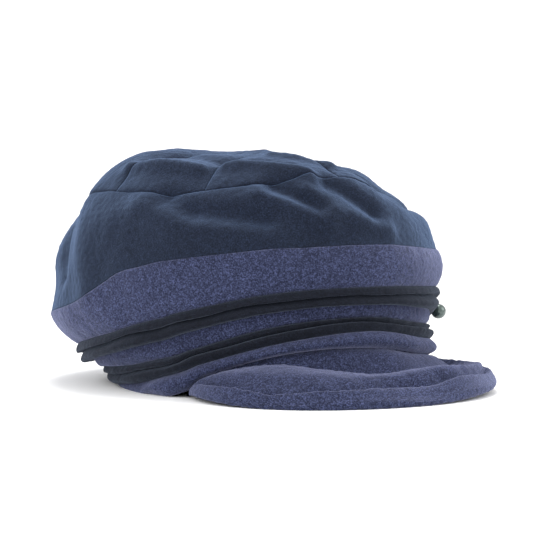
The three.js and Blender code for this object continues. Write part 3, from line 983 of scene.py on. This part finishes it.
def stitch_tree(thread):
    """Stitches along a sewn line: short rods laid end to end with a gap between them."""
    tree = bpy.data.node_groups.new("sewn_line", "GeometryNodeTree")
    sockets = tree.interface
    sockets.new_socket("Geometry", in_out="INPUT", socket_type="NodeSocketGeometry")
    for name in ("Pitch", "Length", "Thickness"):
        sockets.new_socket(name, in_out="INPUT", socket_type="NodeSocketFloat")
    sockets.new_socket("Seed", in_out="INPUT", socket_type="NodeSocketInt")
    sockets.new_socket("Geometry", in_out="OUTPUT", socket_type="NodeSocketGeometry")
    given = node(tree, "NodeGroupInput").outputs
    places = node(
        tree,
        "GeometryNodeResampleCurve",
        {"mode": "LENGTH"},
        Curve=given["Geometry"],
        Length=given["Pitch"],
    ).outputs[0]
    points = node(tree, "GeometryNodeCurveToPoints", {"mode": "EVALUATED"}, Curve=places).outputs
    rod = node(
        tree,
        "GeometryNodeMeshCylinder",
        Vertices=STITCH_SIDES,
        Side_Segments=STITCH_PARTS,
        Radius=work(tree, "MULTIPLY", given["Thickness"], 0.5),
        Depth=given["Length"],
    ).outputs["Mesh"]
    place = node(tree, "GeometryNodeInputPosition").outputs[0]
    along = node(tree, "ShaderNodeSeparateXYZ", Vector=place).outputs["Z"]
    share = work(tree, "DIVIDE", along, given["Length"])
    square = work(tree, "POWER", share, 2.0)
    dip = work(tree, "MULTIPLY", square, given["Thickness"])
    sink = work(tree, "MULTIPLY", dip, STITCH_BEND)
    bend = node(tree, "ShaderNodeCombineXYZ", X=sink).outputs[0]
    bent = node(tree, "GeometryNodeSetPosition", Geometry=rod, Offset=bend).outputs[0]
    drift = node(
        tree,
        "FunctionNodeRandomValue",
        {"data_type": "FLOAT_VECTOR"},
        _0=STITCH_LEAST,
        _1=STITCH_MOST,
        Seed=given["Seed"],
    ).outputs[0]
    laid = node(
        tree,
        "GeometryNodeInstanceOnPoints",
        Points=points["Points"],
        Instance=bent,
        Rotation=points["Rotation"],
        Scale=drift,
    ).outputs[0]
    real = node(tree, "GeometryNodeRealizeInstances", Geometry=laid).outputs[0]
    done = node(tree, "GeometryNodeSetMaterial", Geometry=real, Material=thread).outputs[0]
    node(tree, "NodeGroupOutput", _0=done)
    return tree


SEWN_END = 6  # degrees at each corner of the peak without stitches
SEWN_STATIONS = 181
SEWN_SEED = 7
THREAD_RISE = 0.3  # of the thread's thickness, from the bottom of the groove to its middle


class CAP_OT_peak_stitches(Operator):
    """Make the stitches in the peak's sewn groove"""

    bl_idname = "cap.peak_stitches"
    bl_label = "Peak stitches"

    def execute(self, context):
        size, peak = context.scene.cap_sizes, context.scene.cap_peak
        thread = cap_materials()["sewing"]
        span = math.degrees(peak.half_span) - SEWN_END
        turn = np.linspace(-span, span, SEWN_STATIONS)
        row = peak_loop(size, peak, turn)[GROOVE_ROW] + cap_shift(size)
        row[:, 2] -= peak.groove - THREAD_RISE * peak.thread
        path = bpy.data.curves.new("sewn_path", "CURVE")
        path.dimensions = "3D"
        path.twist_mode = "Z_UP"
        spline = path.splines.new("POLY")
        spline.points.add(len(row) - 1)
        for point, place in zip(spline.points, row):
            point.co = (*place, 1)
        holder = bpy.data.objects.new("sewn_path", path)
        context.scene.collection.objects.link(holder)
        tree = stitch_tree(thread)
        modifier = holder.modifiers.new("stitches", "NODES")
        modifier.node_group = tree
        values = {
            "Pitch": peak.stitch_pitch,
            "Length": peak.stitch_length,
            "Thickness": peak.thread,
            "Seed": SEWN_SEED,
        }
        for item in tree.interface.items_tree:
            if item.item_type == "SOCKET" and item.in_out == "INPUT" and item.name in values:
                modifier[item.identifier] = values[item.name]
        graph = context.evaluated_depsgraph_get()
        mesh = bpy.data.meshes.new_from_object(holder.evaluated_get(graph))
        holder.modifiers.remove(modifier)
        bpy.data.objects.remove(holder)
        if not mesh.polygons:
            raise RuntimeError("The sewn line came out empty")
        mesh.shade_smooth()
        made = bpy.data.objects.new("peak_stitches", mesh)
        context.scene.collection.objects.link(made)
        join_frame(made, "heather_fleece")
        return {"FINISHED"}


BEAD_COLUMNS = 64
BEAD_ROWS = 39  # between the two ends
BEAD_UNEVEN = 0.006  # share of the radius
BEAD_WAVES = (0.006, 170)


class CAP_OT_bead(Operator):
    """Make the sewn-on bead"""

    bl_idname = "cap.bead"
    bl_label = "Bead"

    def execute(self, context):
        low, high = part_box("bead")
        centre = np.array((low + high) / 2)
        radius = (high - low).z / 2
        turn = 2 * np.pi * np.arange(BEAD_COLUMNS) / BEAD_COLUMNS
        down = np.linspace(0, np.pi, BEAD_ROWS + 2)[1:-1, None]
        ring = [np.sin(down) * np.cos(turn), np.sin(down) * np.sin(turn), np.cos(down) + 0 * turn]
        body = radius * np.stack(ring, -1).reshape(-1, 3)
        body = body * (1 + BEAD_UNEVEN * waves(body, *BEAD_WAVES))[:, None]
        points = np.concatenate([body, [[0, 0, radius], [0, 0, -radius]]]) + centre
        grid = np.arange(len(body)).reshape(BEAD_ROWS, BEAD_COLUMNS)
        grid = np.concatenate([grid, grid[:, :1]], 1)
        top, bottom = len(body), len(body) + 1
        faces = list(grid_faces(grid)[:, ::-1])
        faces += [(top, grid[0, i], grid[0, i + 1]) for i in range(BEAD_COLUMNS)]
        faces += [(bottom, grid[-1, i + 1], grid[-1, i]) for i in range(BEAD_COLUMNS)]
        made = mesh_object("bead_pearl", points, faces, cap_materials()["glass"], (0, 0, 0))
        face_out(made.data)
        join_frame(made, "pearl", "bead")
        return {"FINISHED"}


# Backdrop, in metres, from in front of the cap to behind it: a floor that bends up into a wall
FLOOR_FRONT = -3.0
FLOOR_BACK = 1.2
FLOOR_BEND = 0.8
FLOOR_TOP = 4.0
FLOOR_HALF = 4.0
FLOOR_COLUMNS = 48
BEND_STEPS = 13

# Camera: turned from the cap's front towards the wearer's right. Lens and sensor in millimetres.
VIEW_TURN = math.radians(35)
VIEW_DISTANCE = 1.0
EYE_HEIGHT = 0.1062
TARGET_HEIGHT = 0.0659
TARGET_RIGHT = 0.0032
LENS = 100.41
SENSOR = 36

# Lamps: name, place towards the camera, to its right and up, width in metres and power in watts
LAMPS = [
    ("overhead_softbox", -0.3, 0, 1.3, 0.7, 9),
    ("left_softbox", 0.5, -1.1, 0.7, 1.0, 6),
    ("right_softbox", 0.2, 1.2, 0.7, 1.0, 6),
]
LAMP_AIM = Vector((0, 0, 0.06))
ROOM_LIGHT = 1.1


class CAP_OT_stage(Operator):
    """Make the floor, the lights and the camera"""

    bl_idname = "cap.stage"
    bl_label = "Stage"

    def execute(self, context):
        tones = context.scene.cap_colours
        shift = cap_shift(context.scene.cap_sizes)
        bend = np.linspace(0, math.pi / 2, BEND_STEPS + 1)
        depth = [FLOOR_FRONT, *(FLOOR_BACK + FLOOR_BEND * np.sin(bend)), FLOOR_BACK + FLOOR_BEND]
        height = [0, *(FLOOR_BEND * (1 - np.cos(bend))), FLOOR_TOP]
        right = Vector((math.cos(VIEW_TURN), -math.sin(VIEW_TURN), 0))
        toward = Vector((-math.sin(VIEW_TURN), -math.cos(VIEW_TURN), 0))
        points = [
            right * x - toward * y + Vector((0, 0, z))
            for y, z in zip(depth, height)
            for x in np.linspace(-FLOOR_HALF, FLOOR_HALF, FLOOR_COLUMNS)
        ]
        faces = grid_faces(np.arange(len(points)).reshape(len(depth), FLOOR_COLUMNS))
        card = matt_floor("matt_white_card", tones.floor)
        floor = mesh_object("floor", points, list(faces), card, (0, 0, 0))

        world = bpy.data.worlds.new("soft_room")
        world.use_nodes = True
        sky = world.node_tree
        sky.nodes.clear()
        light = node(sky, "ShaderNodeBackground", Color=(1, 1, 1, 1), Strength=ROOM_LIGHT)
        node(sky, "ShaderNodeOutputWorld", Surface=light.outputs[0])
        context.scene.world = world
        context.scene.view_settings.view_transform = "Standard"

        for name, near, aside, up, width, power in LAMPS:
            lamp = bpy.data.lights.new(name, "AREA")
            lamp.shape = "DISK"
            lamp.size = width
            lamp.energy = power
            holder = bpy.data.objects.new(name, lamp)
            holder.location = near * toward + aside * right + Vector((0, 0, up))
            aim = LAMP_AIM - holder.location
            holder.rotation_euler = aim.to_track_quat("-Z", "Y").to_euler()
            context.scene.collection.objects.link(holder)

        middle = Vector(shift)
        eye = middle + toward * VIEW_DISTANCE
        eye.z = EYE_HEIGHT
        target = middle + right * TARGET_RIGHT
        target.z = TARGET_HEIGHT
        lens = bpy.data.cameras.new("camera")
        lens.sensor_width = SENSOR
        lens.lens = LENS
        lens.clip_start = 0.01
        camera = bpy.data.objects.new("camera", lens)
        camera.location = eye
        camera.rotation_euler = (target - eye).to_track_quat("-Z", "Y").to_euler()
        context.scene.collection.objects.link(camera)
        context.scene.camera = camera
        return {"FINISHED"}


class CAP_PT_panel(Panel):
    """Lists the cap's sizes and its making"""

    bl_idname = "CAP_PT_panel"
    bl_label = "Fleece cap"
    bl_space_type = "VIEW_3D"
    bl_region_type = "UI"
    bl_category = "Cap"

    def draw(self, context):
        layout = self.layout
        scene = context.scene
        for title, group in (
            ("Cap", scene.cap_sizes),
            ("Peak", scene.cap_peak),
            ("Colours", scene.cap_colours),
        ):
            box = layout.box()
            box.label(text=title)
            for name in group.__annotations__:
                box.prop(group, name)
        for made in OPERATORS:
            layout.operator(made.bl_idname)


GROUPS = (CapSizes, PeakSizes, CapColours)
OPERATORS = (
    CAP_OT_crown_top,
    CAP_OT_crown_wall,
    CAP_OT_hem_roll,
    CAP_OT_peak,
    CAP_OT_peak_stitches,
    CAP_OT_bead,
    CAP_OT_stage,
)


def register():
    for made in (*GROUPS, *OPERATORS, CAP_PT_panel):
        bpy.utils.register_class(made)
    bpy.types.Scene.cap_sizes = PointerProperty(type=CapSizes)
    bpy.types.Scene.cap_peak = PointerProperty(type=PeakSizes)
    bpy.types.Scene.cap_colours = PointerProperty(type=CapColours)


def unregister():
    del bpy.types.Scene.cap_sizes
    del bpy.types.Scene.cap_peak
    del bpy.types.Scene.cap_colours
    for made in reversed((*GROUPS, *OPERATORS, CAP_PT_panel)):
        bpy.utils.unregister_class(made)


def main():
    register()
    bpy.ops.cap.crown_top()
    bpy.ops.cap.crown_wall()
    bpy.ops.cap.hem_roll()
    bpy.ops.cap.peak()
    bpy.ops.cap.peak_stitches()
    bpy.ops.cap.bead()
    bpy.ops.cap.stage()


if __name__ == "__main__":
    main()
